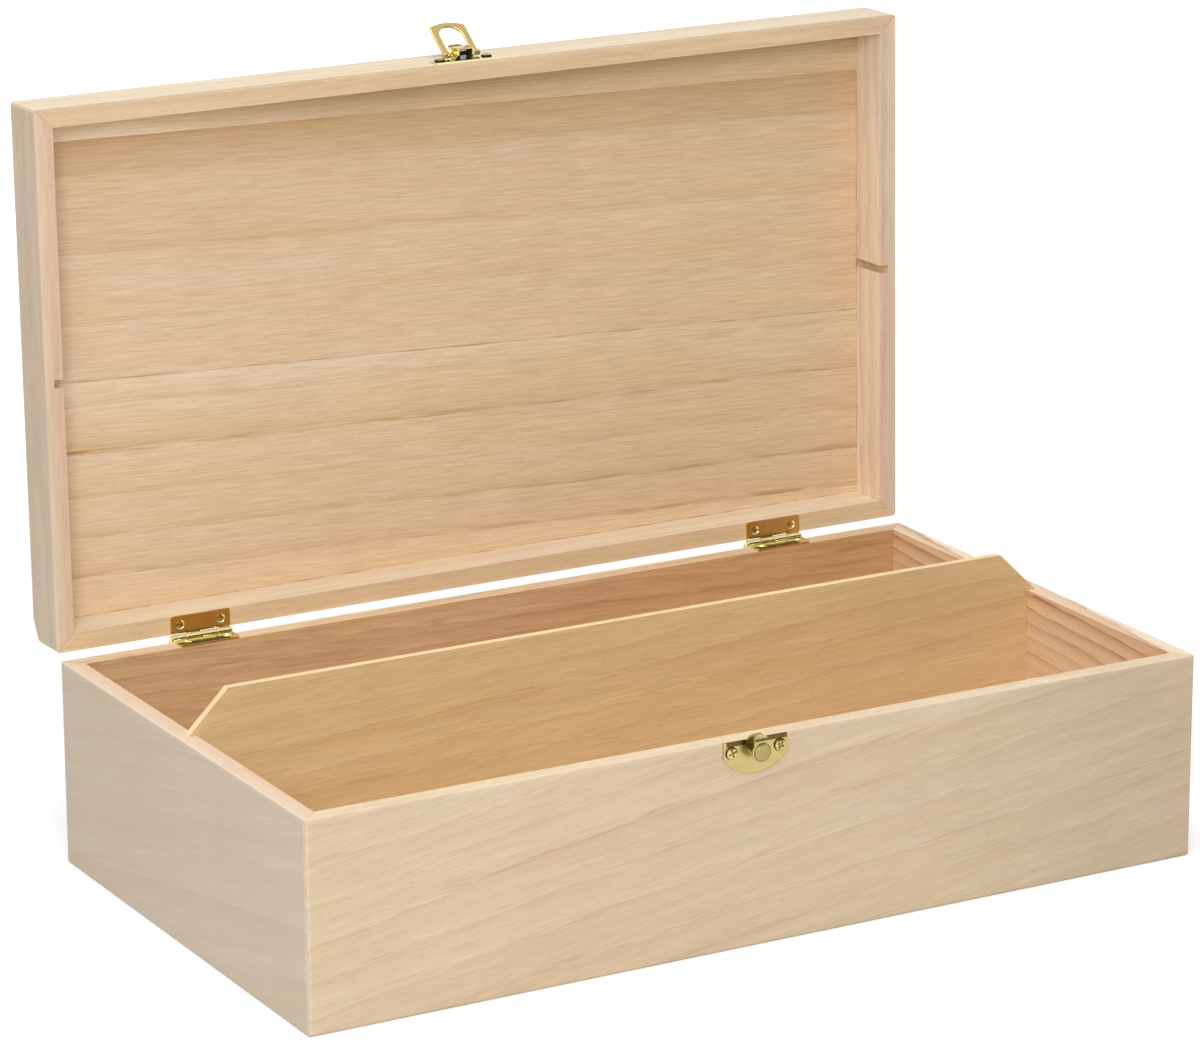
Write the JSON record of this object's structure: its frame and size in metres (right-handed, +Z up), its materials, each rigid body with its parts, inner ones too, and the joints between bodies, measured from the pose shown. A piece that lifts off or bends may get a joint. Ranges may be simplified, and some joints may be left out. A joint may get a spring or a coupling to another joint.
{
  "type": "divided wooden box",
  "caption": "Low mitred wooden box with a lift-out divider, a lid on stop hinges that stands open by itself, and a toggle clasp with a swinging loop.",
  "frame": {"origin": "middle of the tray's underside, on the surface the box stands on", "axes": "+X along the box to the right seen from the clasp side, +Y from the clasp to the hinges, +Z up"},
  "size_m": [0.36, 0.2333, 0.291],
  "materials": {
    "tray_wood": "sanded and left unfinished",
    "lid_wood": "sanded and left unfinished",
    "panel_wood": "sanded and left unfinished",
    "divider_wood": "sanded and left unfinished",
    "brass": "polished"
  },
  "bodies": {
    "tray": {"tray_front_wall": "tray_wood", "tray_rear_wall": "tray_wood", "tray_left_wall": "tray_wood", "tray_right_wall": "tray_wood", "tray_floor": "tray_wood", "catch_plate": "brass", "catch_plate_screws": "brass", "left_hinge_tray_leaf": "brass", "left_hinge_pin": "brass", "left_hinge_tray_screws": "brass", "right_hinge_tray_leaf": "brass", "right_hinge_pin": "brass", "right_hinge_tray_screws": "brass"},
    "divider": {"divider": "divider_wood"},
    "lid": {"lid_front_rail": "lid_wood", "lid_rear_rail": "lid_wood", "lid_left_rail": "lid_wood", "lid_right_rail": "lid_wood", "lid_front_board": "panel_wood", "lid_middle_board": "panel_wood", "lid_rear_board": "panel_wood", "left_hinge_lid_leaf": "brass", "left_hinge_lid_screws": "brass", "right_hinge_lid_leaf": "brass", "right_hinge_lid_screws": "brass", "clasp_plate": "brass", "clasp_plate_screws": "brass", "clasp_rivet": "brass"},
    "clasp_lever": {"clasp_lever": "brass"},
    "clasp_loop_pin": {"clasp_loop_pin": "brass"},
    "clasp_loop": {"clasp_loop": "brass"}
  },
  "joints": [
    {"name": "lid_hinge", "type": "hinge", "parent": "tray", "child": "lid", "pos_m": [0, 0.10155, 0.07785], "axis": [-1, 0, 0], "range_deg": [-91.2, 0]},
    {"name": "divider_lift", "type": "slide", "parent": "tray", "child": "divider", "axis": [0, 0, 1], "range_m": [0, 0.003]},
    {"name": "clasp_lever_pivot", "type": "hinge", "parent": "lid", "child": "clasp_lever", "pos_m": [-0.0065, 0.11028, 0.28226], "axis": [1, 0, 0], "range_deg": [0, 90]},
    {"name": "clasp_loop_pin_turn", "type": "hinge", "parent": "clasp_lever", "child": "clasp_loop_pin", "pos_m": [-0.0065, 0.11227, 0.28142], "axis": [1, 0, 0], "range_deg": [-90, 0]},
    {"name": "clasp_loop_pivot", "type": "hinge", "parent": "clasp_loop_pin", "child": "clasp_loop", "pos_m": [-0.0065, 0.11227, 0.28142], "axis": [-1, 0, 0], "range_deg": [-145.6, 40]}
  ],
  "couplings": [
    {"joint": "clasp_loop_pin_turn", "follows": "clasp_lever_pivot", "ratio": -1}
  ]
}
